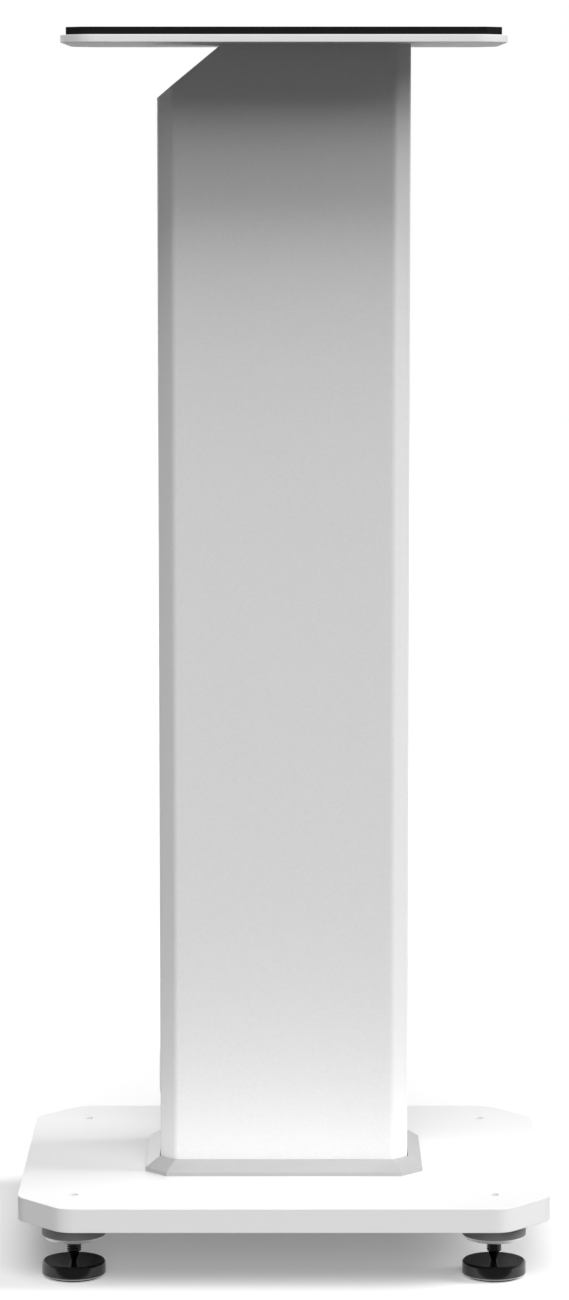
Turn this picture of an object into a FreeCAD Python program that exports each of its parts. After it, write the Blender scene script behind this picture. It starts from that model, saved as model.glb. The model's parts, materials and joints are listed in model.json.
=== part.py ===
import FreeCAD, Part
import math
import os

# A floor stand for one bookshelf loudspeaker, in millimetres. +Z is up, +X points to the stand's
# front and +Y to its left. The origin is on the floor, at the middle of the base board's outline.

# ---- Driving dimensions ----

stand_height = 815.0            # floor to the top of the pad that the speaker stands on

# Base board, chamfered at its four corners
board_length = 350.0            # front to back
board_width = 295.0
board_thickness = 16.0
board_chamfer_x = 30.0
board_chamfer_y = 33.0
board_corner_radius = 17.0      # rounding where a chamfer meets a side
board_edge_radius = 0.3
board_skin = 4.0                # board left above each insert's hole

# Top plate
plate_length = 289.0
plate_width = 180.0
plate_thickness = 5.0
plate_chamfer_x = 15.0
plate_chamfer_y = 17.0
plate_corner_radius = 17.0
plate_edge_radius = 0.5

# Top pad
pad_margin = 4.0                # bare plate left round the pad
pad_thickness = 4.9
pad_chamfer_relief = 4.5        # its corners are cut back less than the plate's
pad_edge_radius = 0.5

# Column extrusion
column_length = 166.0           # front to back
column_width = 100.0
column_wall = 2.8
column_chamfer = 10.3
column_corner_radius = 5.0
web_thickness = 2.5             # wall between the cable channel and the front chamber
port_wall = 2.5                 # round the screws, in the ports that they bite into
port_inset = 15.0               # from the front and rear faces to the outer ports
port_sink = 1.8                 # how far a port's round runs into the side wall
web_port_gap = 4.0

# Cable notch at the column's rear top corner, and the cable outlet low in its rear face
notch_depth = 43.0              # how far it reaches in from the rear face, at the top
notch_height = 35.3             # how far it reaches down the rear face
outlet_width = 44.0
outlet_height = 24.0
outlet_rise = 62.0              # board to the middle of the outlet
grommet_flange = 4.0            # flange width round the outlet
grommet_flange_thickness = 0.8
grommet_wall = 1.5
grommet_lip = 1.0               # how far the snap lip stands out behind the wall
grommet_lip_thickness = 1.2

# Collar round the column's foot
collar_reach = 10.0             # from the column's face to the collar's outer edge
collar_height = 9.2
collar_lip_height = 2.6         # upright edge under the slope
collar_chamfer_extra = 4.2      # its corner chamfers beyond the column's
collar_floor = 1.5              # ledge that the column stands on

# Screws, all of one thread
screw_diameter = 6.0
screw_bite = 20.0               # thread inside the column
countersunk_reach = 3.0         # head beyond the shank, all round
plate_screw_key = 4.0           # hexagon across its flats
cap_head_diameter = 10.0
cap_head_height = 6.0
cap_screw_key = 5.0
key_depth = 2.4
washer_diameter = 18.0
washer_thickness = 1.6
recess_depth_spare = 0.6        # cap screw's head below the board's underside
recess_side_spare = 1.0

# Feet
foot_inset_x = 36.7             # from the board's side to the foot's axis
foot_inset_y = 38.2
puck_diameter = 42.0
puck_height = 12.5
puck_bevel = 2.2                # inwards, round its foot
puck_bevel_rise = 2.6
insert_wall = 3.0
insert_flange_reach = 4.0
insert_flange_thickness = 2.0
insert_end_spare = 2.0          # hole beyond the insert's end
spike_diameter = 10.0
spike_pitch = 1.5
thread_angle = 60.0             # degrees between a groove's two sides
spike_lift = 9.0                # how far it can be screwed in from here
spike_end_spare = 0.5           # left above it then
spike_thread_shown = 9.25       # thread between the puck and the cone
spike_cone_step = 1.3           # the cone starts this much inside the thread's crest
spike_shoulder_rise = 0.5
spike_cone_height = 9.9
spike_tip_radius = 0.5
spike_key = 5.0
spike_key_depth = 6.0
spike_end_chamfer = 0.8
key_hole_gap = 0.36             # round the key that reaches the spike through the board
disc_diameter = 42.0
disc_height = 9.3               # without the part of the pad that shows
disc_shoulder = 1.3             # rounding of the top edge, inwards
disc_shoulder_drop = 1.6
disc_rim = 0.3                  # flat on the very top
disc_under_bevel = 1.7
disc_under_rise = 1.2
dish_depth = 0.25
seat_diameter = 3.8             # deep cone in the disc that the tip stands in
seat_depth = 3.7
foot_pad_margin = 2.0           # bare rim of the disc's underside round the pad
foot_pad_shown = 1.3
foot_pad_let_in = 0.6

# Clearances
seat_gap = 0.05                 # radial, between fixed pieces that fit in each other
running_gap = 0.05              # radial, between a spike and its insert
tip_gap = 0.05                  # between a spike's tip and its disc
screw_hole_gap = 0.3            # radial, round a screw that passes through
collar_gap = 0.6                # dark line between the collar and the column
thread_overshoot = 0.1          # thread cutter past the crest, so that it cuts clean

# ---- Derived places ----

disc_bottom = foot_pad_shown
disc_top = disc_bottom + disc_height
dish_centre = disc_top - dish_depth
seat_bottom = dish_centre - seat_depth
spike_tip = seat_bottom + tip_gap
cone_top = spike_tip + spike_cone_height
puck_bottom = cone_top + spike_thread_shown
board_bottom = puck_bottom + puck_height
board_top = board_bottom + board_thickness
column_bottom = board_top + collar_floor
plate_top = stand_height - pad_thickness
plate_bottom = plate_top - plate_thickness
insert_hole_top = board_top - board_skin
insert_top = insert_hole_top - insert_end_spare
spike_top = insert_hole_top - spike_lift - spike_end_spare

pad_chamfer = plate_chamfer_x - pad_chamfer_relief
port_diameter = screw_diameter + 2 * port_wall
half_column = column_length / 2
web_rear = notch_depth - half_column
web_front = web_rear + web_thickness
rear_port_x = port_inset - half_column
web_port_x = web_front + web_port_gap + port_diameter / 2
front_port_x = half_column - port_inset
port_y = column_width / 2 - column_wall - port_diameter / 2 + port_sink
screw_hole_diameter = screw_diameter + 2 * screw_hole_gap
recess_depth = washer_thickness + cap_head_height + recess_depth_spare
countersunk_head_diameter = screw_diameter + 2 * countersunk_reach

foot_x = board_length / 2 - foot_inset_x
foot_y = board_width / 2 - foot_inset_y
insert_diameter = spike_diameter + 2 * insert_wall
insert_flange_diameter = insert_diameter + 2 * insert_flange_reach
thread_depth = 0.6134 * spike_pitch     # of a metric outer thread
thread_root_flat = spike_pitch / 6
key_hole_diameter = spike_key * 2 / math.sqrt(3) + 2 * key_hole_gap
foot_pad_diameter = disc_diameter - 2 * disc_under_bevel - 2 * foot_pad_margin

foot_places = {
    "front_left": (foot_x, foot_y),
    "front_right": (foot_x, -foot_y),
    "rear_left": (-foot_x, foot_y),
    "rear_right": (-foot_x, -foot_y),
}
up = FreeCAD.Vector(0, 0, 1)


# ---- Shapes that more than one piece uses ----

def octagon(length, width, chamfer_x, chamfer_y, z):
    """Corner points of a rectangle with cut corners, anticlockwise from the front left."""
    x, y = length / 2, width / 2
    quarter = [(x, y - chamfer_y), (x - chamfer_x, y)]
    points = quarter + [(-a, b) for a, b in reversed(quarter)]
    points += [(-a, -b) for a, b in points]
    return [FreeCAD.Vector(a, b, z) for a, b in points]


def face_of(points):
    return Part.Face(Part.makePolygon(points + points[:1]))


def prism(points, height):
    return face_of(points).extrude(up * height)


def offset_chamfer(chamfer, offset):
    """Leg of a 45 degree chamfer once its outline is moved outwards by offset."""
    return chamfer + offset * (2 - math.sqrt(2))


def column_outline(offset, z):
    """The column's outline moved outwards by offset, or inwards where it is negative."""
    chamfer = offset_chamfer(column_chamfer, offset)
    return octagon(column_length + 2 * offset, column_width + 2 * offset, chamfer, chamfer, z)


def same(a, b):
    """Whether two values are equal, apart from rounding."""
    return abs(a - b) < 1e-6


def upright_edges(shape):
    return [e for e in shape.Edges if same(abs(e.tangentAt(e.FirstParameter).z), 1)]


def level_edges_at(shape, z):
    return [e for e in shape.Edges if same(e.BoundBox.ZMin, z) and same(e.BoundBox.ZMax, z)]


def cross_edges_at(shape, x):
    """The edges that lie in the plane across the stand at x."""
    return [e for e in shape.Edges if same(e.BoundBox.XMin, x) and same(e.BoundBox.XMax, x)]


def rounded_slab(points, height, corner_radius, edge_radius):
    """A slab with rounded corners and softened top and bottom edges."""
    slab = prism(points, height)
    slab = slab.makeFillet(corner_radius, upright_edges(slab))
    bottom = points[0].z
    rims = level_edges_at(slab, bottom) + level_edges_at(slab, bottom + height)
    return slab.makeFillet(edge_radius, rims)


def frustum(lower, upper):
    """A solid with flat sides between two outlines of as many points each."""
    count = len(lower)
    sides = []
    for i in range(count):
        j = (i + 1) % count
        sides.append(face_of([lower[i], lower[j], upper[j], upper[i]]))
    shell = Part.makeShell([face_of(lower), face_of(upper)] + sides)
    return Part.makeSolid(shell)


def cylinder(x, y, z, diameter, height):
    return Part.makeCylinder(diameter / 2, height, FreeCAD.Vector(x, y, z))


def hexagon_prism(x, y, z, across_flats, height):
    radius = across_flats / math.sqrt(3)
    points = []
    for i in range(6):
        angle = math.radians(60 * i)
        points.append(FreeCAD.Vector(x + radius * math.cos(angle), y + radius * math.sin(angle), z))
    return prism(points, height)


def turned(profile):
    """Solid of revolution about Z, from (radius, z) points; an arc is (via, end) as a pair."""
    edges = []
    start = FreeCAD.Vector(profile[0][0], 0, profile[0][1])
    first = start
    for step in profile[1:]:
        if isinstance(step[0], tuple):
            via = FreeCAD.Vector(step[0][0], 0, step[0][1])
            end = FreeCAD.Vector(step[1][0], 0, step[1][1])
            edges.append(Part.Arc(start, via, end).toShape())
        else:
            end = FreeCAD.Vector(step[0], 0, step[1])
            edges.append(Part.makeLine(start, end))
        start = end
    edges.append(Part.makeLine(start, first))
    return Part.Face(Part.Wire(edges)).revolve(FreeCAD.Vector(0, 0, 0), up, 360)


def obround_prism(width, height, x, depth, z):
    """A bar along X whose section is a slot with round ends, its middle at height z."""
    radius = height / 2
    reach = width / 2 - radius
    left, right = FreeCAD.Vector(x, reach, z), FreeCAD.Vector(x, -reach, z)
    rise, side = FreeCAD.Vector(0, 0, radius), FreeCAD.Vector(0, radius, 0)
    edges = [
        Part.makeLine(right + rise, left + rise),
        Part.Arc(left + rise, left + side, left - rise).toShape(),
        Part.makeLine(left - rise, right - rise),
        Part.Arc(right - rise, right - side, right + rise).toShape(),
    ]
    return Part.Face(Part.Wire(edges)).extrude(FreeCAD.Vector(depth, 0, 0))


def plate_screw_places():
    return [(x, y) for x in (web_port_x, front_port_x) for y in (port_y, -port_y)]


def base_screw_places():
    return [(x, y) for x in (rear_port_x, front_port_x) for y in (port_y, -port_y)]


# ---- Top ----

def top_pad():
    length = plate_length - 2 * pad_margin
    width = plate_width - 2 * pad_margin
    outline = octagon(length, width, pad_chamfer, pad_chamfer, plate_top)
    return rounded_slab(outline, pad_thickness, pad_edge_radius, pad_edge_radius)


def countersunk_cone(head_diameter, shank_diameter, top):
    """A head's 90 degree cone, with its wide end at height top."""
    height = (head_diameter - shank_diameter) / 2
    place = FreeCAD.Vector(0, 0, top - height)
    return Part.makeCone(shank_diameter / 2, head_diameter / 2, height, place)


def top_plate():
    outline = octagon(plate_length, plate_width, plate_chamfer_x, plate_chamfer_y, plate_bottom)
    plate = rounded_slab(outline, plate_thickness, plate_corner_radius, plate_edge_radius)
    head_hole = countersunk_head_diameter + 2 * screw_hole_gap
    sink = countersunk_cone(head_hole, screw_hole_diameter, plate_top)
    for x, y in plate_screw_places():
        plate = plate.cut(cylinder(x, y, plate_bottom, screw_hole_diameter, plate_thickness))
        plate = plate.cut(sink.translated(FreeCAD.Vector(x, y, 0)))
    return plate


def plate_screw():
    # The head sits in a countersink wider by the hole's gap, so it lies that much lower.
    head_top = plate_top - screw_hole_gap + seat_gap
    shank_bottom = plate_bottom - screw_bite
    head = countersunk_cone(countersunk_head_diameter, screw_diameter, head_top)
    shank = cylinder(0, 0, shank_bottom, screw_diameter, head.BoundBox.ZMin - shank_bottom)
    key = hexagon_prism(0, 0, head_top - key_depth, plate_screw_key, key_depth)
    return shank.fuse(head).cut(key).removeSplitter()


# ---- Column and what it holds ----

def column():
    length = plate_bottom - column_bottom
    tube = prism(column_outline(0, column_bottom), length)
    tube = tube.makeFillet(column_corner_radius, upright_edges(tube))
    hollow = prism(column_outline(-column_wall, column_bottom), length)
    if column_corner_radius > column_wall:
        hollow = hollow.makeFillet(column_corner_radius - column_wall, upright_edges(hollow))
    tube = tube.cut(hollow)

    web_width = column_width - column_wall
    corner = FreeCAD.Vector(web_rear, -web_width / 2, column_bottom)
    tube = tube.fuse(Part.makeBox(web_thickness, web_width, length, corner))
    port_xs = (rear_port_x, web_port_x, front_port_x)
    places = [(x, y) for x in port_xs for y in (port_y, -port_y)]
    ports = [cylinder(x, y, column_bottom, port_diameter, length) for x, y in places]
    tube = tube.fuse(ports)
    bore = screw_diameter + 2 * seat_gap
    holes = [cylinder(x, y, column_bottom, bore, length) for x, y in places]
    tube = tube.cut(Part.makeCompound(holes)).removeSplitter()
    return tube.cut(cable_notch()).cut(outlet_hole())


def cable_notch():
    """The wedge cut off the rear top corner, across the whole width; its sides run on past the
    column."""
    slope = notch_height / notch_depth
    beyond = column_wall
    rear = -half_column - beyond
    front = web_rear + beyond
    low = plate_bottom - notch_height - slope * beyond
    high = plate_bottom + slope * beyond
    points = [
        FreeCAD.Vector(rear, -column_width, low),
        FreeCAD.Vector(front, -column_width, high),
        FreeCAD.Vector(rear, -column_width, high),
    ]
    return face_of(points).extrude(FreeCAD.Vector(0, 2 * column_width, 0))


def outlet_hole():
    """The outlet's slot, from outside the rear wall to inside it."""
    start = -half_column - column_wall
    return obround_prism(outlet_width, outlet_height, start, 3 * column_wall, board_top + outlet_rise)


def cable_grommet():
    z = board_top + outlet_rise
    outside = -half_column
    inside = outside + column_wall
    sleeve_width = outlet_width - 2 * seat_gap
    sleeve_height = outlet_height - 2 * seat_gap
    sleeve_depth = column_wall + 2 * seat_gap + grommet_lip_thickness
    sleeve = obround_prism(sleeve_width, sleeve_height, outside - seat_gap, sleeve_depth, z)
    flange = obround_prism(
        outlet_width + 2 * grommet_flange,
        outlet_height + 2 * grommet_flange,
        outside - seat_gap - grommet_flange_thickness,
        grommet_flange_thickness,
        z,
    )
    lip = obround_prism(
        outlet_width + 2 * grommet_lip,
        outlet_height + 2 * grommet_lip,
        inside + seat_gap,
        grommet_lip_thickness,
        z,
    )
    rim = cross_edges_at(flange, flange.BoundBox.XMin)
    flange = flange.makeFillet(grommet_flange_thickness / 2, rim)
    body = sleeve.fuse([flange, lip])
    way = obround_prism(
        outlet_width - 2 * grommet_wall,
        outlet_height - 2 * grommet_wall,
        flange.BoundBox.XMin,
        body.BoundBox.XLength,
        z,
    )
    return body.cut(way).removeSplitter()


# ---- Base ----

def collar():
    """A bevelled ring whose inner ledge lies between the column's end and the board."""
    length = column_length + 2 * collar_reach
    width = column_width + 2 * collar_reach
    chamfer = column_chamfer + collar_chamfer_extra
    lower = octagon(length, width, chamfer, chamfer, board_top)
    middle = octagon(length, width, chamfer, chamfer, board_top + collar_lip_height)
    upper = column_outline(collar_gap, board_top + collar_height)
    ring = prism(lower, collar_lip_height).fuse(frustum(middle, upper)).removeSplitter()
    pocket = prism(column_outline(collar_gap, column_bottom), collar_height)
    opening = prism(column_outline(-column_wall, board_top), collar_height)
    return ring.cut(pocket).cut(opening)


def base_board():
    outline = octagon(board_length, board_width, board_chamfer_x, board_chamfer_y, board_bottom)
    board = rounded_slab(outline, board_thickness, board_corner_radius, board_edge_radius)
    insert_hole = insert_diameter + 2 * seat_gap
    holes = []
    for x, y in foot_places.values():
        holes.append(cylinder(x, y, board_bottom, insert_hole, insert_hole_top - board_bottom))
        holes.append(cylinder(x, y, board_bottom, key_hole_diameter, board_thickness))
    recess = washer_diameter + 2 * recess_side_spare
    for x, y in base_screw_places():
        holes.append(cylinder(x, y, board_bottom, recess, recess_depth))
        holes.append(cylinder(x, y, board_bottom, screw_hole_diameter, board_thickness))
    for hole in holes:
        board = board.cut(hole)
    return board


def base_washer():
    top = board_bottom + recess_depth
    disc = cylinder(0, 0, top - washer_thickness, washer_diameter, washer_thickness)
    return disc.cut(cylinder(0, 0, top - washer_thickness, screw_hole_diameter, washer_thickness))


def base_screw():
    head_top = board_bottom + recess_depth - washer_thickness
    head_bottom = head_top - cap_head_height
    shank = cylinder(0, 0, head_top, screw_diameter, column_bottom + screw_bite - head_top)
    head = cylinder(0, 0, head_bottom, cap_head_diameter, cap_head_height)
    key = hexagon_prism(0, 0, head_bottom, cap_screw_key, key_depth)
    return shank.fuse(head).cut(key).removeSplitter()


# ---- One foot, built on the Z axis ----

def foot_puck():
    radius = puck_diameter / 2
    puck = turned([
        (0, puck_bottom),
        (radius - puck_bevel, puck_bottom),
        (radius, puck_bottom + puck_bevel_rise),
        (radius, board_bottom),
        (0, board_bottom),
    ])
    flange_hole = insert_flange_diameter + 2 * seat_gap
    sleeve_hole = insert_diameter + 2 * seat_gap
    puck = puck.cut(cylinder(0, 0, puck_bottom, flange_hole, insert_flange_thickness))
    return puck.cut(cylinder(0, 0, puck_bottom, sleeve_hole, puck_height))


def foot_insert():
    flange = cylinder(0, 0, puck_bottom, insert_flange_diameter, insert_flange_thickness)
    sleeve = cylinder(0, 0, puck_bottom, insert_diameter, insert_top - puck_bottom)
    bore = cylinder(0, 0, puck_bottom, spike_diameter + 2 * running_gap, insert_top - puck_bottom)
    return flange.fuse(sleeve).removeSplitter().cut(bore)


def groove_turn():
    """One turn of the helical groove of a right-hand metric thread, from height 0."""
    crest = spike_diameter / 2
    root = crest - thread_depth
    lean = math.tan(math.radians(thread_angle / 2))
    root_half = thread_root_flat / 2
    wide_half = root_half + (crest + thread_overshoot - root) * lean
    points = [
        FreeCAD.Vector(crest + thread_overshoot, 0, -wide_half),
        FreeCAD.Vector(crest + thread_overshoot, 0, wide_half),
        FreeCAD.Vector(root, 0, root_half),
        FreeCAD.Vector(root, 0, -root_half),
    ]
    outline = Part.makePolygon(points + points[:1])
    helix = Part.Wire(Part.makeHelix(spike_pitch, spike_pitch, crest))
    return helix.makePipeShell([outline], True, True)


def threaded_rod(bottom, thread_bottom, top):
    """A rod with its thread cut turn by turn, because one long groove can fail to cut."""
    rod = cylinder(0, 0, bottom, spike_diameter, top - bottom)
    turn = groove_turn()
    turn_count = math.ceil((top - thread_bottom) / spike_pitch) + 2
    for i in range(turn_count):
        rod = rod.cut(turn.translated(up * (thread_bottom + (i - 1) * spike_pitch)))
    return rod


def spike():
    stud = spike_diameter / 2
    cone = stud - spike_cone_step
    tip = spike_tip_radius
    lean = math.atan2(cone, spike_cone_height)
    tangent = (tip * math.cos(lean), spike_tip + tip * (1 - math.sin(lean)))
    half = (math.pi / 2 - lean) / 2
    via = (tip * math.sin(half), spike_tip + tip * (1 - math.cos(half)))
    body = turned([
        (0, spike_tip),
        (via, tangent),
        (cone, cone_top),
        (stud, cone_top + spike_shoulder_rise),
        (stud, spike_top - spike_end_chamfer),
        (stud - spike_end_chamfer, spike_top),
        (0, spike_top),
    ])
    key = hexagon_prism(0, 0, spike_top - spike_key_depth, spike_key, spike_key_depth)
    return body.common(threaded_rod(spike_tip, cone_top, spike_top)).cut(key)


def floor_disc():
    radius = disc_diameter / 2
    shoulder = radius - disc_shoulder
    dish = shoulder - disc_rim
    # middle points of the rounded shoulder and of the dish's shallow bowl
    swell = 1 - math.sqrt(0.5)
    shoulder_mid = (radius - disc_shoulder * swell, disc_top - disc_shoulder_drop * swell)
    seat = seat_diameter / 2
    dish_mid = ((dish + seat) / 2, disc_top - dish_depth * 3 / 4)
    body = turned([
        (0, disc_bottom),
        (radius - disc_under_bevel, disc_bottom),
        (radius, disc_bottom + disc_under_rise),
        (radius, disc_top - disc_shoulder_drop),
        (shoulder_mid, (shoulder, disc_top)),
        (dish, disc_top),
        (dish_mid, (seat, dish_centre)),
        (spike_tip_radius, seat_bottom),
        (0, seat_bottom),
    ])
    pocket = cylinder(0, 0, disc_bottom, foot_pad_diameter + 2 * seat_gap, foot_pad_let_in)
    return body.cut(pocket)


def disc_pad():
    return cylinder(0, 0, 0, foot_pad_diameter, foot_pad_shown + foot_pad_let_in)


# ---- Write every piece ----

def copies(shape, places):
    return Part.makeCompound([shape.translated(FreeCAD.Vector(x, y, 0)) for x, y in places])


pieces = {
    "top_pad": top_pad(),
    "top_plate": top_plate(),
    "top_plate_screws": copies(plate_screw(), plate_screw_places()),
    "column": column(),
    "cable_grommet": cable_grommet(),
    "collar": collar(),
    "base_board": base_board(),
    "base_washers": copies(base_washer(), base_screw_places()),
    "base_screws": copies(base_screw(), base_screw_places()),
}

foot_pieces = {
    "foot_puck": foot_puck(),
    "foot_insert": foot_insert(),
    "spike": spike(),
    "floor_disc": floor_disc(),
    "disc_pad": disc_pad(),
}
for corner, (x, y) in foot_places.items():
    for name, shape in foot_pieces.items():
        pieces[f"{name}_{corner}"] = shape.translated(FreeCAD.Vector(x, y, 0))

os.makedirs("parts", exist_ok=True)
for name, shape in pieces.items():
    if not shape.isValid():
        raise ValueError(f"{name} isn't a valid solid")
    shape.exportStep(f"parts/{name}.step")
    print(f"{name}: {len(shape.Solids)} solid(s), {shape.Volume / 1000:.2f} cm3")
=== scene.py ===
import json
import math

import bmesh
import bpy
from bpy.props import FloatProperty, FloatVectorProperty, PointerProperty
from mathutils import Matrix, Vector, noise


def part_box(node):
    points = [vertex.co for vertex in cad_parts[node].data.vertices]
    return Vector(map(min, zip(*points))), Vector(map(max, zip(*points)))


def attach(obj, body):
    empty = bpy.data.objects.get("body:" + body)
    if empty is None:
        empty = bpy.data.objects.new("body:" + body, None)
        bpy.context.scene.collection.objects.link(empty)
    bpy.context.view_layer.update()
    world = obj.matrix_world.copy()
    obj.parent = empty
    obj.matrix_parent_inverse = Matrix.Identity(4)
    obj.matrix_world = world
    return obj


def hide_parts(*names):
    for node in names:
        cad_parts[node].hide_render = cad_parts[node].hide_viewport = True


bl_info = {
    "name": "Speaker Stand Dressing",
    "version": (1, 0, 0),
    "blender": (4, 5, 0),
    "location": "3D View > Sidebar > Speaker Stand",
    "description": "Gives a speaker stand its foam pads and finishes, and lights it in a studio",
    "category": "Object",
}

# The frame is the stand's working model: +Z up, +X to its front, metres, origin on the floor.
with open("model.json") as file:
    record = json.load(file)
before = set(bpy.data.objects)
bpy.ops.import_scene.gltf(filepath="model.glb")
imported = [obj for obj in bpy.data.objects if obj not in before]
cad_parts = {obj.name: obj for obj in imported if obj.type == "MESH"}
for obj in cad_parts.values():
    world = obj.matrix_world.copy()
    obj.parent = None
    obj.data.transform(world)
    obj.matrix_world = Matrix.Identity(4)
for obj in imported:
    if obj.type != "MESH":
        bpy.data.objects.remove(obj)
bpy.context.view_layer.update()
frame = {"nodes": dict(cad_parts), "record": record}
slot_colours = {m["slot"]: tuple(m["base_color"][:3]) for m in frame["record"]["materials"]}

MM = 0.001
CORNERS = ("front_left", "front_right", "rear_left", "rear_right")


# ---- What a user can change ----

def colour(name, description, default):
    return FloatVectorProperty(
        name=name, description=description, subtype="COLOR", size=3, min=0, max=1, default=default,
    )


def length(name, description, default):
    return FloatProperty(
        name=name, description=description, unit="LENGTH", precision=5, min=0, max=1,
        default=default,
    )


def share(name, description, default):
    return FloatProperty(
        name=name, description=description, subtype="FACTOR", min=0, max=1, default=default,
    )


def strength(name, description, default):
    return FloatProperty(name=name, description=description, min=0, default=default)


class PadSettings(bpy.types.PropertyGroup):
    """Sizes of the foam pad on the top plate and of the pads under the floor discs."""
    chamfer: length("Corner chamfer", "Leg of the top pad's cut corners", 10.5 * MM)
    corner_radius: length("Corner radius", "Rounding where a cut corner meets a side", 1.2 * MM)
    edge_radius: length("Edge radius", "Rounding of the foam's cut edges", 0.35 * MM)
    dip: length("Dip", "How far the soft top face sinks between its high spots", 0.12 * MM)
    dip_spacing: length("Dip spacing", "Distance from one high spot to the next", 45 * MM)


class FinishSettings(bpy.types.PropertyGroup):
    """Colours and grain of the stand's finishes."""
    plate_coat: colour("Plate coat", "Powder coat of the top plate", slot_colours["white_coat"])
    column_coat: colour("Column coat", "Powder coat of the column", slot_colours["column_coat"])
    bare_metal: colour("Bare metal", "Uncoated aluminium inside the column", (0.62, 0.63, 0.64))
    lacquer: colour("Lacquer", "Lacquer of the base board", slot_colours["white_lacquer"])
    raw_board: colour("Raw board", "Cut fibreboard deep inside drilled holes", (0.3, 0.22, 0.15))
    spray_depth: length("Spray depth", "How far the lacquer reaches into a drilled hole", 5 * MM)
    trim: colour("Trim", "Grey of the collar", (0.44, 0.44, 0.44))
    puck: colour("Puck", "Bead-blasted grey of the pucks under the board", (0.24, 0.24, 0.24))
    puck_bevel: colour("Puck bevel", "Bright-turned bevels of the pucks", (0.8, 0.8, 0.8))
    disc_bevel: colour("Disc bevel", "Bright-turned bevels of the floor discs", (0.5, 0.5, 0.5))
    foam: colour("Foam", "Closed-cell foam of the pads", (0.008, 0.008, 0.008))
    grommet: colour("Grommet", "Plastic of the cable's grommet", slot_colours["white_plastic"])
    zinc: colour("Zinc", "Plating of screws, washers and inserts", slot_colours["zinc_steel"])
    stud: colour("Stud", "Black nickel on the spikes", (0.1, 0.1, 0.1))
    enamel: colour("Enamel", "Gloss black of the floor discs", (0.006, 0.006, 0.006))
    wall: length("Column wall", "Depth at which the coat ends and the bare inside begins", 2.8 * MM)
    column_chamfer: length("Column chamfer", "Leg of the column's chamfered corners", 10.3 * MM)
    coat_grain: length("Coat grain", "Spacing of the powder coat's fine texture", 1.1 * MM)
    coat_relief: length("Coat relief", "Height of the powder coat's fine texture", 0.05 * MM)
    dust: share("Dust", "How much fine dust lies on what faces up", 0.03)


class StageSettings(bpy.types.PropertyGroup):
    """The studio's light. A lamp of strength 1 makes a white card that faces it white."""
    key: strength("Key", "High soft lamp on the camera's side", 0.57)
    fill: strength("Fill", "Low soft lamp beside the camera", 0.37)
    side: strength("Side", "Soft lamp at the stand's front", 0.6)
    column_top: strength("Column top", "Steep soft lamp that lights the column alone", 0.59)
    column_above: strength("Column above", "Lamp almost overhead, for the column alone", 1.72)
    column_side: strength("Column side", "Lamp at the stand's front, for the column alone", 0.82)
    column_low: strength("Column low", "Weak low lamp that lights the column alone", 0.06)
    back: strength("Back", "Low soft lamp behind the stand, for its pale pieces alone", 0.34)
    ambient: share("Ambient", "Light from all round", 0.04)
    floor: colour("Floor", "Colour of the pale floor", (0.95, 0.95, 0.95))
    floor_glow: share("Floor glow", "How far shadows on the floor are lifted", 0.23)
    floor_front: length(
        "Floor front", "From the stand's middle to where gloss sees the floor end", 137 * MM,
    )


# ---- Node tools ----

def add_node(tree, kind, inputs=None, **settings):
    """Adds a node with its own settings. An input is linked if it's given a socket, or else set."""
    node = tree.nodes.new(kind)
    for name, value in settings.items():
        setattr(node, name, value)
    for name, value in (inputs or {}).items():
        if isinstance(value, bpy.types.NodeSocket):
            tree.links.new(value, node.inputs[name])
        else:
            node.inputs[name].default_value = value
    return node


def math_node(tree, operation, first, second=0.0):
    return add_node(tree, "ShaderNodeMath", {0: first, 1: second}, operation=operation).outputs[0]


def product(tree, first, *others):
    for other in others:
        first = math_node(tree, "MULTIPLY", first, other)
    return first


def remap(tree, value, low, high, to_low=0.0, to_high=1.0):
    limits = {"From Min": low, "From Max": high, "To Min": to_low, "To Max": to_high}
    return add_node(tree, "ShaderNodeMapRange", {"Value": value, **limits}).outputs["Result"]


def mix_colours(tree, mask, first, second):
    """The first colour where the mask is 0 and the second where it is 1."""
    # Factor, A and B have the same names for numbers, vectors and colours, so they go by place.
    inputs = {0: mask, 6: first, 7: second}
    return add_node(tree, "ShaderNodeMix", inputs, data_type="RGBA").outputs[2]


def place(tree):
    """Where a point is on the stand, in the frame's metres."""
    return add_node(tree, "ShaderNodeTexCoord").outputs["Object"]


def place_parts(tree):
    """A point's X, Y and Z, in the frame's metres."""
    return add_node(tree, "ShaderNodeSeparateXYZ", {0: place(tree)}).outputs


def facing_up(tree):
    """How far a surface faces up: 1 on top, 0 on an upright side and -1 underneath."""
    normal = add_node(tree, "ShaderNodeNewGeometry").outputs["Normal"]
    return add_node(tree, "ShaderNodeSeparateXYZ", {0: normal}).outputs["Z"]


def new_group(name, inputs, outputs):
    """An empty node group with its sockets; inputs are (name, type, default)."""
    group = bpy.data.node_groups.new(name, "ShaderNodeTree")
    for socket_name, kind, default in inputs:
        socket = group.interface.new_socket(socket_name, in_out="INPUT", socket_type=kind)
        if default is not None:
            socket.default_value = default
    for socket_name, kind in outputs:
        group.interface.new_socket(socket_name, in_out="OUTPUT", socket_type=kind)
    return group, group.nodes.new("NodeGroupInput"), group.nodes.new("NodeGroupOutput")


NOISE_STRETCH = 4.0             # brings noise, most of it near 0.5, out to between 0 and 1
DUST_PATCHES = 60.0             # clouds of dust in a metre
DUST_SLOPE = (0.3, 0.95)        # how far a surface faces up to hold no dust, and all of it
DUST_COLOUR = (0.5, 0.49, 0.47, 1)


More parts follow.
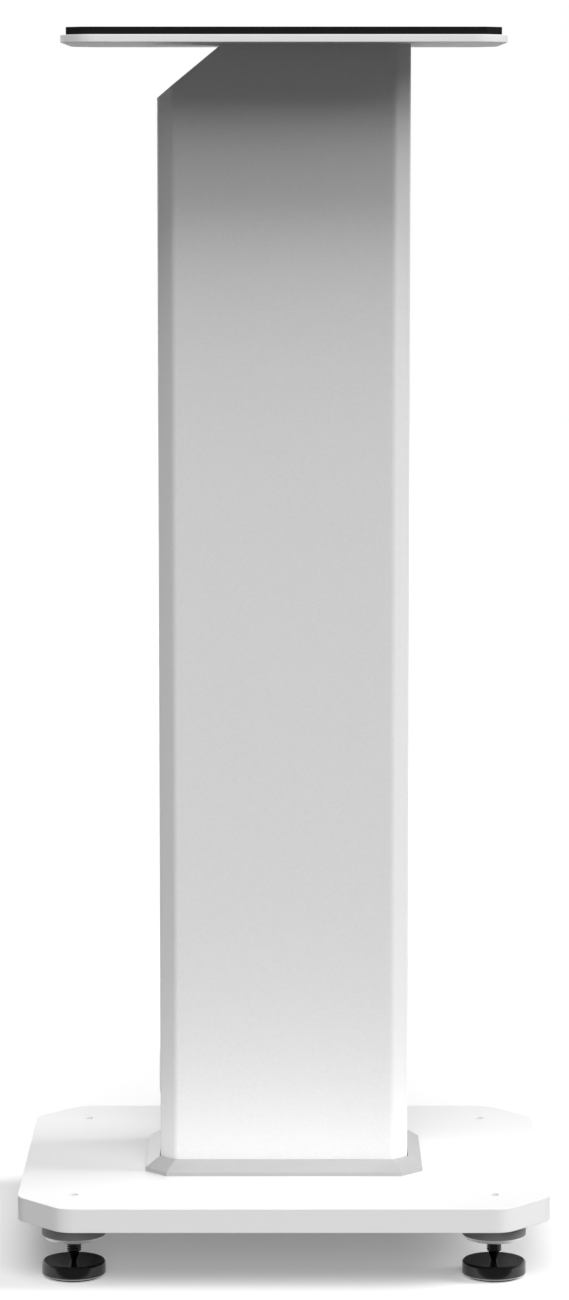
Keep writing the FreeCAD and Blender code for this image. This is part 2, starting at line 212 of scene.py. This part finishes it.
def grain_group():
    """Fine even texture: a mask for colour and a height for bump."""
    if "Grain" in bpy.data.node_groups:
        return bpy.data.node_groups["Grain"]
    group, given, result = new_group(
        "Grain",
        [("Vector", "NodeSocketVector", None), ("Size", "NodeSocketFloat", 1.0 * MM),
         ("Contrast", "NodeSocketFloat", 0.5)],
        [("Mask", "NodeSocketFloat"), ("Height", "NodeSocketFloat")],
    )
    scale = math_node(group, "DIVIDE", 1.0, given.outputs["Size"])
    specks = add_node(group, "ShaderNodeTexNoise", {
        "Vector": given.outputs["Vector"], "Scale": scale, "Detail": 2.0, "Roughness": 0.6,
    })
    centred = math_node(group, "SUBTRACT", specks.outputs["Fac"], 0.5)
    stretched = product(group, centred, given.outputs["Contrast"], NOISE_STRETCH)
    mask = math_node(group, "ADD", stretched, 0.5)
    clamped = add_node(group, "ShaderNodeClamp", {"Value": mask})
    group.links.new(clamped.outputs[0], result.inputs["Mask"])
    group.links.new(specks.outputs["Fac"], result.inputs["Height"])
    return group


def dust_group():
    """Fine dust that settles on what faces up: a mask between 0 and the amount."""
    if "Settled Dust" in bpy.data.node_groups:
        return bpy.data.node_groups["Settled Dust"]
    group, given, result = new_group(
        "Settled Dust",
        [("Vector", "NodeSocketVector", None), ("Amount", "NodeSocketFloat", 0.03)],
        [("Mask", "NodeSocketFloat")],
    )
    facing = remap(group, facing_up(group), *DUST_SLOPE)
    cloud = add_node(group, "ShaderNodeTexNoise", {
        "Vector": given.outputs["Vector"], "Scale": DUST_PATCHES, "Detail": 6.0, "Roughness": 0.65,
    })
    patches = remap(group, cloud.outputs["Fac"], 0.35, 0.7, 0.3, 1.0)
    amount = product(group, facing, patches, given.outputs["Amount"])
    group.links.new(amount, result.inputs["Mask"])
    return group


def grain(tree, size, contrast=0.5, vector=None):
    """Fine even texture of one size, over the stand's own metres or over a given vector."""
    inputs = {"Vector": vector or place(tree), "Size": size, "Contrast": contrast}
    return add_node(tree, "ShaderNodeGroup", inputs, node_tree=grain_group())


def dusty(tree, under, amount):
    """A colour with fine grey dust over it."""
    inputs = {"Vector": place(tree), "Amount": amount}
    dust = add_node(tree, "ShaderNodeGroup", inputs, node_tree=dust_group())
    return mix_colours(tree, dust.outputs["Mask"], under, DUST_COLOUR)


def shaded(colour_value, factor):
    """A colour, made lighter or darker, with its alpha."""
    return tuple(min(1.0, part * factor) for part in colour_value) + (1,)


def mottled(tree, texture, colour_value, depth):
    """A colour that varies with a texture by depth on both sides of the one given."""
    darkest, lightest = shaded(colour_value, 1 - depth), shaded(colour_value, 1 + depth)
    return mix_colours(tree, texture.outputs["Mask"], darkest, lightest)


def varied(tree, texture, low, high):
    """A roughness that varies with a texture from low to high."""
    return remap(tree, texture.outputs["Mask"], 0, 1, low, high)


def new_material(name, **constants):
    """A material with plain values on its shader: specular_ior_level is for Specular IOR Level."""
    material = bpy.data.materials.new(name)
    material.use_nodes = True
    shader = material.node_tree.nodes["Principled BSDF"]
    for socket, value in constants.items():
        shader.inputs[socket.replace("_", " ").title().replace("Ior", "IOR")].default_value = value
    return material, material.node_tree, shader


def feed(tree, shader, base=None, roughness=None, metallic=None, height=None, relief=0.0):
    """Links what changes over the surface to the shader; relief is the height's size in metres."""
    for name, socket in (("Base Color", base), ("Roughness", roughness), ("Metallic", metallic)):
        if socket is not None:
            tree.links.new(socket, shader.inputs[name])
    if height is not None:
        inputs = {"Strength": 1.0, "Distance": relief, "Height": height}
        bump = add_node(tree, "ShaderNodeBump", inputs)
        tree.links.new(bump.outputs["Normal"], shader.inputs["Normal"])


# ---- Finishes ----

COAT_CLOUD = 90 * MM            # spacing of slow changes in the powder coat's gloss
LACQUER_CLOUD = 120 * MM        # and in the lacquer's
SPRAY_FADE = (30 * MM, 90 * MM)     # below its top, the column's inside goes from coated to bare
BARE_FROM = (-0.97, -0.9)       # in walls from the outside: all bare, and all coated
BOARD_RIM = 25 * MM             # no hole is drilled closer to the board's edge
UPRIGHT_SLOPE = (0.3, 0.5)      # how far a surface may face up or down to count as upright
BEVEL_SLOPE = (-0.4, -0.3)      # how far a bevel faces up, at most
UNDERSIDE_SLOPE = (-0.97, -0.93)    # and where a flat underside ends
RAW_ROUGHNESS = 0.85            # of cut fibreboard
RING_STRETCH = (0.15, 0.15, 1.0)    # draws grain out round the axis, into turning marks


def coat_of(tree, colour_value, settings):
    """The powder coat's colour, roughness and height."""
    fine = grain(tree, settings.coat_grain)
    broad = grain(tree, COAT_CLOUD, 0.3)
    colour_out = mottled(tree, fine, colour_value, 0.03)
    roughness = varied(tree, broad, 0.46, 0.54)
    return colour_out, roughness, fine.outputs["Height"]


def plate_coat_material(settings):
    material, tree, shader = new_material("plate_powder_coat")
    base, roughness, height = coat_of(tree, settings.plate_coat, settings)
    feed(tree, shader, base, roughness, height=height, relief=settings.coat_relief)
    return material


def inside_column(tree, settings):
    """A mask that is 1 on the column's bare inside, and fades out near the sprayed cable notch."""
    _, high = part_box("column")
    parts = place_parts(tree)
    x = math_node(tree, "ABSOLUTE", parts["X"])
    y = math_node(tree, "ABSOLUTE", parts["Y"])
    beyond_x = math_node(tree, "SUBTRACT", x, high.x)
    beyond_y = math_node(tree, "SUBTRACT", y, high.y)
    corner = high.x + high.y - settings.column_chamfer
    diagonal = math_node(tree, "SUBTRACT", math_node(tree, "ADD", x, y), corner)
    beyond_chamfer = math_node(tree, "DIVIDE", diagonal, math.sqrt(2))
    beyond_sides = math_node(tree, "MAXIMUM", beyond_x, beyond_y)
    outside = math_node(tree, "MAXIMUM", beyond_sides, beyond_chamfer)
    bare, coated = (part * settings.wall for part in BARE_FROM)
    inside = remap(tree, outside, bare, coated, 1, 0)
    below_top = math_node(tree, "SUBTRACT", high.z, parts["Z"])
    return product(tree, inside, remap(tree, below_top, *SPRAY_FADE))


def column_material(settings):
    material, tree, shader = new_material("column_powder_coat")
    base, roughness, height = coat_of(tree, settings.column_coat, settings)
    bare = inside_column(tree, settings)
    drawn = grain(tree, 0.6 * MM, 0.6)
    metal = mottled(tree, drawn, settings.bare_metal, 0.08)
    both = mix_colours(tree, bare, base, metal)
    metal_roughness = varied(tree, drawn, 0.32, 0.46)
    change = product(tree, bare, math_node(tree, "SUBTRACT", metal_roughness, roughness))
    both_roughness = math_node(tree, "ADD", roughness, change)
    feed(tree, shader, both, both_roughness, bare, height, settings.coat_relief)
    return material


def drilled_in_board(tree, settings):
    """A mask that is 1 on the upright walls of the board's holes, below what the spray reaches."""
    _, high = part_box("base_board")
    parts = place_parts(tree)
    slope = math_node(tree, "ABSOLUTE", facing_up(tree))
    upright = remap(tree, slope, *UPRIGHT_SLOPE, 1, 0)
    within = []
    for axis, half in (("X", high.x), ("Y", high.y)):
        from_middle = math_node(tree, "ABSOLUTE", parts[axis])
        within.append(remap(tree, from_middle, half - BOARD_RIM, half - BOARD_RIM * 0.9, 1, 0))
    depth = math_node(tree, "SUBTRACT", high.z, parts["Z"])
    unsprayed = remap(tree, depth, settings.spray_depth / 2, settings.spray_depth)
    return product(tree, *within, upright, unsprayed)


def lacquer_material(settings):
    """Sprayed satin lacquer with a faint orange peel; the drilled holes show raw board."""
    material, tree, shader = new_material("board_lacquer", specular_ior_level=0.3)
    peel = grain(tree, 3.2 * MM, 0.4)
    broad = grain(tree, LACQUER_CLOUD, 0.3)
    white = mottled(tree, broad, settings.lacquer, 0.008)
    drilled = drilled_in_board(tree, settings)
    fibres = grain(tree, 0.5 * MM, 0.8)
    raw = mottled(tree, fibres, settings.raw_board, 0.25)
    roughness = varied(tree, broad, 0.3, 0.36)
    raw_roughness = product(tree, drilled, RAW_ROUGHNESS)
    both_roughness = math_node(tree, "MAXIMUM", roughness, raw_roughness)
    feed(tree, shader, mix_colours(tree, drilled, white, raw), both_roughness,
         height=peel.outputs["Height"], relief=0.012 * MM)
    return material


def moulded_material(
    name, colour_value, grain_size, relief, roughness, depth, dust=0.0, **constants,
):
    """Plain moulded plastic, rubber or foam with its own texture."""
    material, tree, shader = new_material(name, **constants)
    fine = grain(tree, grain_size)
    base = mottled(tree, fine, colour_value, depth)
    if dust:
        base = dusty(tree, base, dust)
    rough = varied(tree, fine, roughness - 0.05, roughness + 0.05)
    feed(tree, shader, base, rough, height=fine.outputs["Height"], relief=relief)
    return material


def plated_material(name, colour_value, roughness, depth):
    """Plated steel with the fine rings that turning leaves across the axis."""
    material, tree, shader = new_material(name, metallic=1.0)
    stretch = add_node(tree, "ShaderNodeMapping", {"Vector": place(tree), "Scale": RING_STRETCH})
    rings = grain(tree, 0.5 * MM, vector=stretch.outputs["Vector"])
    base = mottled(tree, rings, colour_value, depth)
    rough = varied(tree, rings, roughness * 0.8, roughness * 1.2)
    feed(tree, shader, base, rough, height=rings.outputs["Height"], relief=0.008 * MM)
    return material


def lower_bevel(tree):
    """A mask that is 1 where a surface slants downwards, but isn't a flat underside."""
    up = facing_up(tree)
    slanting = remap(tree, up, *BEVEL_SLOPE, 1, 0)
    return product(tree, slanting, remap(tree, up, *UNDERSIDE_SLOPE))


def puck_material(settings):
    """Bead-blasted and anodised grey aluminium, with a bright-turned bevel at its foot."""
    material, tree, shader = new_material("puck_anodised")
    fine = grain(tree, 0.7 * MM)
    cut = lower_bevel(tree)
    grey = mottled(tree, fine, settings.puck, 0.04)
    base = mix_colours(tree, cut, grey, (*settings.puck_bevel, 1))
    rough = varied(tree, fine, 0.38, 0.46)
    feed(tree, shader, base, rough, cut, fine.outputs["Height"], 0.01 * MM)
    return material


def enamel_material(settings):
    """Gloss black enamel with a trace of dust on top, and a bright-turned bevel under its side."""
    material, tree, shader = new_material("disc_enamel", specular_ior_level=0.7)
    haze = grain(tree, 14 * MM, 0.5)
    cut = lower_bevel(tree)
    black = dusty(tree, mottled(tree, haze, settings.enamel, 0.1), settings.dust)
    base = mix_colours(tree, cut, black, (*settings.disc_bevel, 1))
    rough = varied(tree, haze, 0.12, 0.18)
    feed(tree, shader, base, rough, cut, haze.outputs["Height"], 0.01 * MM)
    return material


def on_every_foot(piece):
    return [f"{piece}_{corner}" for corner in CORNERS]


def paint(node_names, material):
    """Gives CAD nodes one material."""
    for name in node_names:
        for material_slot in frame["nodes"][name].material_slots:
            material_slot.material = material


# ---- Meshes ----

TOP_RINGS = (0.985, 0.94, 0.86, 0.74, 0.6, 0.45, 0.3, 0.15)     # of the top pad's own size
DIP_START = 8                   # edge radii from the rim to where the full dip is reached


def rounded_octagon(half_x, half_y, chamfer, radius, side_steps=12, arc_steps=3):
    """Outline points of a rectangle with cut and slightly rounded corners, anticlockwise."""
    right_side = [(half_x, half_y - chamfer), (half_x - chamfer, half_y)]
    corners = right_side + [(-x, y) for x, y in reversed(right_side)]
    corners += [(-x, -y) for x, y in corners]
    corners = [Vector(c) for c in corners]
    points = []
    for i, corner in enumerate(corners):
        before = (corners[i - 1] - corner).normalized()
        after = (corners[(i + 1) % len(corners)] - corner).normalized()
        half_angle = before.angle(after) / 2
        reach = radius / math.tan(half_angle)
        centre = corner + (before + after).normalized() * (radius / math.sin(half_angle))
        start = (corner + before * reach - centre).normalized()
        end = (corner + after * reach - centre).normalized()
        for k in range(arc_steps + 1):
            points.append(centre + start.slerp(end, k / arc_steps) * radius)
        next_corner = corners[(i + 1) % len(corners)]
        run_start, run_end = corner + after * reach, next_corner - after * reach
        points += [run_start.lerp(run_end, k / side_steps) for k in range(1, side_steps)]
    return points


def circle(radius, centre, steps=96):
    x, y = centre
    angles = [math.tau * i / steps for i in range(steps)]
    return [Vector((x + radius * math.cos(a), y + radius * math.sin(a))) for a in angles]


def edge_profile(bottom, top, radius, steps=4):
    """(inset, height) pairs of a slab's side with rounded edges, from its bottom to its top."""
    quarter = [math.pi / 2 * k / steps for k in range(steps + 1)]
    lower = [(radius * (1 - math.sin(a)), bottom + radius * (1 - math.cos(a))) for a in quarter]
    upper = [(radius * (1 - math.cos(a)), top - radius * (1 - math.sin(a))) for a in quarter]
    return lower + upper


def add_object(name, mesh):
    """Makes an object of a finished bmesh and frees the bmesh."""
    data = bpy.data.meshes.new(name)
    mesh.to_mesh(data)
    mesh.free()
    piece = bpy.data.objects.new(name, data)
    bpy.context.scene.collection.objects.link(piece)
    return piece


def ringed_solid(name, rings, centre):
    """A closed mesh through rings of as many points each, with a fan to the centre at both ends."""
    mesh = bmesh.new()
    loops = [[mesh.verts.new(point) for point in ring] for ring in rings]
    count = len(rings[0])
    for lower, upper in zip(loops, loops[1:]):
        for i in range(count):
            j = (i + 1) % count
            mesh.faces.new((lower[i], lower[j], upper[j], upper[i]))
    for loop, flip in ((loops[0], True), (loops[-1], False)):
        middle = mesh.verts.new((centre[0], centre[1], loop[0].co.z))
        for i in range(count):
            j = (i + 1) % count
            corners = (loop[i], loop[j], middle)
            mesh.faces.new(corners[::-1] if flip else corners)
    for face in mesh.faces:
        face.smooth = True
    return add_object(name, mesh)


def sheet_height(x, y, top, settings):
    """The soft top face: never above the top, and a little lower between its high spots."""
    wave = noise.noise(Vector((x, y, 0)) / settings.dip_spacing)
    return top - settings.dip * min(1, max(0, 0.5 + wave))


# ---- Operators ----

class STAND_OT_top_pad(bpy.types.Operator):
    """Make the soft foam pad that the speaker stands on"""
    bl_idname = "stand.top_pad"
    bl_label = "Top Pad"

    def execute(self, context):
        settings = context.scene.stand_pad
        low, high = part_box("top_pad")
        rings = []
        for inset, z in edge_profile(low.z, high.z, settings.edge_radius):
            half_x, half_y = high.x - inset, high.y - inset
            chamfer = settings.chamfer - inset * (2 - math.sqrt(2))
            outline = rounded_octagon(half_x, half_y, chamfer, settings.corner_radius)
            rings.append([Vector((p.x, p.y, z)) for p in outline])
        rim = rings[-1]
        for share_kept in TOP_RINGS:
            from_rim = (1 - share_kept) * high.y
            dip_reached = min(1.0, from_rim / (DIP_START * settings.edge_radius))
            ring = []
            for p in rim:
                x, y = p.x * share_kept, p.y * share_kept
                dipped = sheet_height(x, y, high.z, settings)
                ring.append(Vector((x, y, high.z + (dipped - high.z) * dip_reached)))
            rings.append(ring)
        pad = ringed_solid("foam_pad", rings, (0, 0))
        finish = context.scene.stand_finish
        pad.data.materials.append(moulded_material(
            "pad_foam", finish.foam, grain_size=0.9 * MM, relief=0.06 * MM, roughness=0.8,
            depth=0.12, dust=finish.dust, specular_ior_level=0.1,
        ))
        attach(pad, "stand")
        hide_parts("top_pad")
        return {"FINISHED"}


class STAND_OT_top_plate(bpy.types.Operator):
    """Powder-coat the top plate"""
    bl_idname = "stand.top_plate"
    bl_label = "Top Plate"

    def execute(self, context):
        paint(["top_plate"], plate_coat_material(context.scene.stand_finish))
        return {"FINISHED"}


class STAND_OT_column(bpy.types.Operator):
    """Powder-coat the column outside and leave it bare inside"""
    bl_idname = "stand.column"
    bl_label = "Column"

    def execute(self, context):
        paint(["column"], column_material(context.scene.stand_finish))
        return {"FINISHED"}


class STAND_OT_grommet(bpy.types.Operator):
    """Finish the cable outlet's plastic grommet"""
    bl_idname = "stand.grommet"
    bl_label = "Cable Grommet"

    def execute(self, context):
        finish = context.scene.stand_finish
        paint(["cable_grommet"], moulded_material(
            "grommet_plastic", finish.grommet, grain_size=0.5 * MM, relief=0.03 * MM,
            roughness=0.45, depth=0.02,
        ))
        return {"FINISHED"}


class STAND_OT_collar(bpy.types.Operator):
    """Finish the moulded collar at the column's foot"""
    bl_idname = "stand.collar"
    bl_label = "Collar"

    def execute(self, context):
        finish = context.scene.stand_finish
        paint(["collar"], moulded_material(
            "collar_trim", finish.trim, grain_size=0.8 * MM, relief=0.02 * MM,
            roughness=0.42, depth=0.015,
        ))
        return {"FINISHED"}


class STAND_OT_base_board(bpy.types.Operator):
    """Lacquer the base board"""
    bl_idname = "stand.base_board"
    bl_label = "Base Board"

    def execute(self, context):
        paint(["base_board"], lacquer_material(context.scene.stand_finish))
        return {"FINISHED"}


class STAND_OT_fasteners(bpy.types.Operator):
    """Plate the screws, washers and threaded inserts with zinc"""
    bl_idname = "stand.fasteners"
    bl_label = "Fasteners"

    def execute(self, context):
        finish = context.scene.stand_finish
        names = ["top_plate_screws", "base_screws", "base_washers", *on_every_foot("foot_insert")]
        paint(names, plated_material("zinc_plating", finish.zinc, roughness=0.32, depth=0.06))
        return {"FINISHED"}


class STAND_OT_pucks(bpy.types.Operator):
    """Finish the grey metal pucks under the board"""
    bl_idname = "stand.pucks"
    bl_label = "Pucks"

    def execute(self, context):
        paint(on_every_foot("foot_puck"), puck_material(context.scene.stand_finish))
        return {"FINISHED"}


class STAND_OT_spikes(bpy.types.Operator):
    """Plate the levelling spikes with black nickel"""
    bl_idname = "stand.spikes"
    bl_label = "Spikes"

    def execute(self, context):
        finish = context.scene.stand_finish
        plating = plated_material("spike_plating", finish.stud, roughness=0.2, depth=0.15)
        paint(on_every_foot("spike"), plating)
        return {"FINISHED"}


class STAND_OT_floor_discs(bpy.types.Operator):
    """Enamel the floor discs in gloss black"""
    bl_idname = "stand.floor_discs"
    bl_label = "Floor Discs"

    def execute(self, context):
        paint(on_every_foot("floor_disc"), enamel_material(context.scene.stand_finish))
        return {"FINISHED"}


class STAND_OT_disc_pads(bpy.types.Operator):
    """Make the soft pads under the floor discs"""
    bl_idname = "stand.disc_pads"
    bl_label = "Disc Pads"

    def execute(self, context):
        finish = context.scene.stand_finish
        settings = context.scene.stand_pad
        material = moulded_material(
            "disc_foam", finish.foam, grain_size=0.6 * MM, relief=0.05 * MM, roughness=0.85,
            depth=0.12, specular_ior_level=0.25,
        )
        for corner in CORNERS:
            node = f"disc_pad_{corner}"
            low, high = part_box(node)
            centre = ((low.x + high.x) / 2, (low.y + high.y) / 2)
            radius = (high.x - low.x) / 2
            rings = []
            for inset, z in edge_profile(low.z, high.z, settings.edge_radius / 3):
                rings.append([Vector((p.x, p.y, z)) for p in circle(radius - inset, centre)])
            pad = ringed_solid(f"foam_disc_{corner}", rings, centre)
            pad.data.materials.append(material)
            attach(pad, f"foot_{corner}")
            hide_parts(node)
        return {"FINISHED"}


# ---- Studio ----

# The camera looks at the stand's right side, from 2.85 m away and a little below the top plate.
CAMERA_ASIDE = 0.0004
CAMERA_DISTANCE = 2.8491
CAMERA_HEIGHT = 0.7507
CAMERA_PITCH = math.radians(6.984)
CAMERA_LENS = 118.1             # millimetres
CAMERA_SENSOR = 36              # millimetres high
FLOOR_HALF = 8                  # metres
FLOOR_BOUNCE = (0.06, 0.06, 0.06, 1)    # its colour, for light that goes back up to the stand
FLOOR_END = 5 * MM              # how softly the floor ends for gloss
LAMP_DISTANCE = 3.0             # metres, to see the lamps by; it doesn't change their light
DARK_ROOM = 0.13                # how bright the camera's side of the room is to gloss
ROOM_EDGE = (-0.3, 0.4)         # how far away from the camera gloss looks to see it, or white
WHITE = (1, 1, 1, 1)

# Azimuth, elevation and spread in degrees. The strengths are settings of the same names.
LAMPS = {
    "key": (2, 57, 50),
    "fill": (2, 15, 30),
    "side": (90, 33, 24),
    "column_top": (2, 68, 56),
    "column_above": (2, 80, 24),
    "column_side": (90, 44, 60),
    "column_low": (-35, 15, 60),
    "back": (215, 4, 50),
}


def soft_lamp(name, azimuth, elevation, spread, brightness):
    """A far lamp whose light fills a cone of directions. Azimuth 0 is on the camera's side and 90
    at the stand's front. A white card that faces it comes out as bright as that share of white."""
    a, e = math.radians(azimuth), math.radians(elevation)
    towards_lamp = Vector((math.sin(a) * math.cos(e), -math.cos(a) * math.cos(e), math.sin(e)))
    data = bpy.data.lights.new(name, "SUN")
    data.angle = math.radians(spread)
    data.energy = math.pi * brightness
    lamp = bpy.data.objects.new(name, data)
    lamp.location = towards_lamp * LAMP_DISTANCE
    lamp.rotation_euler = (-towards_lamp).to_track_quat("-Z", "Y").to_euler()
    bpy.context.scene.collection.objects.link(lamp)
    return lamp


def light_only(lamps, names, state):
    """Lets lamps light some CAD nodes alone, with state INCLUDE, or all but them, with EXCLUDE."""
    group = bpy.data.collections.new(f"lit_{state.lower()}")
    for name in names:
        group.objects.link(frame["nodes"][name])
    for linked in group.collection_objects:
        linked.light_linking.link_state = state
    for lamp in lamps:
        lamp.light_linking.receiver_collection = group


def seen_directly(tree, mirrored):
    """1 for rays from the camera, the share mirrored for rays from gloss or glass, or else 0."""
    ray = add_node(tree, "ShaderNodeLightPath").outputs
    gloss_or_glass = math_node(tree, "MAXIMUM", ray["Is Glossy Ray"], ray["Is Transmission Ray"])
    by_mirror = product(tree, gloss_or_glass, mirrored)
    return math_node(tree, "MAXIMUM", ray["Is Camera Ray"], by_mirror)


def floor_material(settings):
    """A pale floor that keeps the stand's shadow; it sends little light back up onto the stand."""
    material = bpy.data.materials.new("studio_floor")
    material.use_nodes = True
    tree = material.node_tree
    tree.nodes.remove(tree.nodes["Principled BSDF"])
    pale = add_node(tree, "ShaderNodeBsdfDiffuse", {"Color": (*settings.floor, 1)})
    dim = add_node(tree, "ShaderNodeBsdfDiffuse", {"Color": FLOOR_BOUNCE})
    glow = add_node(tree, "ShaderNodeEmission", {"Color": WHITE, "Strength": settings.floor_glow})
    lifted = add_node(tree, "ShaderNodeAddShader", {0: pale.outputs[0], 1: glow.outputs[0]})
    end = -settings.floor_front
    mirrored = remap(tree, place_parts(tree)["Y"], end - FLOOR_END, end, DARK_ROOM)
    inputs = {0: seen_directly(tree, mirrored), 1: dim.outputs[0], 2: lifted.outputs[0]}
    both = add_node(tree, "ShaderNodeMixShader", inputs)
    tree.links.new(both.outputs[0], tree.nodes["Material Output"].inputs["Surface"])
    return material


def studio_world(settings):
    """White behind the stand, dim light from all round, and a dark room in front for gloss."""
    world = bpy.data.worlds.new("studio")
    world.use_nodes = True
    tree = world.node_tree
    direction = add_node(tree, "ShaderNodeTexCoord").outputs["Generated"]
    away = add_node(tree, "ShaderNodeSeparateXYZ", {0: direction}).outputs["Y"]
    mirrored = remap(tree, away, *ROOM_EDGE, DARK_ROOM, 1)
    white = tree.nodes["Background"]
    white.inputs["Color"].default_value = WHITE
    dim = add_node(tree, "ShaderNodeBackground", {"Color": WHITE, "Strength": settings.ambient})
    inputs = {0: seen_directly(tree, mirrored), 1: dim.outputs[0], 2: white.outputs[0]}
    both = add_node(tree, "ShaderNodeMixShader", inputs)
    tree.links.new(both.outputs[0], tree.nodes["World Output"].inputs["Surface"])
    return world


def add_floor(settings):
    mesh = bmesh.new()
    bmesh.ops.create_grid(mesh, x_segments=8, y_segments=8, size=FLOOR_HALF)
    floor = add_object("studio_floor", mesh)
    floor.data.materials.append(floor_material(settings))


def add_lamps(settings):
    """Lamps for all but the column, lamps for the column alone, and one for the pale rear."""
    lamps = {}
    for name, aim in LAMPS.items():
        lamps[name] = soft_lamp(f"{name}_lamp", *aim, getattr(settings, name))
    dark = [*on_every_foot("floor_disc"), *on_every_foot("spike")]
    light_only([lamps[name] for name in ("key", "fill", "side")], ["column", *dark], "EXCLUDE")
    column_lamps = [lamp for name, lamp in lamps.items() if name.startswith("column")]
    light_only(column_lamps, ["column"], "INCLUDE")
    pale = ["top_plate", "column", "cable_grommet", "collar", "base_board"]
    light_only([lamps["back"]], pale, "INCLUDE")


def add_camera():
    camera = bpy.data.objects.new("camera", bpy.data.cameras.new("camera"))
    camera.data.sensor_fit = "VERTICAL"
    camera.data.sensor_height = CAMERA_SENSOR
    camera.data.lens = CAMERA_LENS
    camera.location = (CAMERA_ASIDE, -CAMERA_DISTANCE, CAMERA_HEIGHT)
    camera.rotation_euler = (math.pi / 2 - CAMERA_PITCH, 0, 0)
    bpy.context.scene.collection.objects.link(camera)
    bpy.context.scene.camera = camera


class STAND_OT_stage(bpy.types.Operator):
    """Set up the pale floor, the soft lamps, the white surround and the camera"""
    bl_idname = "stand.stage"
    bl_label = "Studio"

    def execute(self, context):
        settings = context.scene.stand_stage
        add_floor(settings)
        add_lamps(settings)
        context.scene.world = studio_world(settings)
        add_camera()
        context.scene.view_settings.view_transform = "Standard"
        return {"FINISHED"}


# ---- Panel and registration ----

OPERATORS = (
    STAND_OT_stage,
    STAND_OT_top_pad,
    STAND_OT_top_plate,
    STAND_OT_column,
    STAND_OT_grommet,
    STAND_OT_collar,
    STAND_OT_base_board,
    STAND_OT_fasteners,
    STAND_OT_pucks,
    STAND_OT_spikes,
    STAND_OT_floor_discs,
    STAND_OT_disc_pads,
)
SETTINGS = {"stand_pad": PadSettings, "stand_finish": FinishSettings, "stand_stage": StageSettings}


class STAND_PT_dressing(bpy.types.Panel):
    """The stand's pieces and finishes, in the order in which they are made"""
    bl_idname = "STAND_PT_dressing"
    bl_label = "Speaker Stand"
    bl_space_type = "VIEW_3D"
    bl_region_type = "UI"
    bl_category = "Speaker Stand"

    def draw(self, context):
        for operator in OPERATORS:
            self.layout.operator(operator.bl_idname)
        for name, kind in SETTINGS.items():
            box = self.layout.box()
            for setting in kind.__annotations__:
                box.prop(getattr(context.scene, name), setting)


def register():
    for kind in (*SETTINGS.values(), *OPERATORS, STAND_PT_dressing):
        bpy.utils.register_class(kind)
    for name, kind in SETTINGS.items():
        setattr(bpy.types.Scene, name, PointerProperty(type=kind))


def unregister():
    for name in SETTINGS:
        delattr(bpy.types.Scene, name)
    for kind in (STAND_PT_dressing, *reversed(OPERATORS), *reversed(list(SETTINGS.values()))):
        bpy.utils.unregister_class(kind)


def main():
    register()
    for operator in OPERATORS:
        group, name = operator.bl_idname.split(".")
        getattr(getattr(bpy.ops, group), name)()


if __name__ == "__main__":
    main()
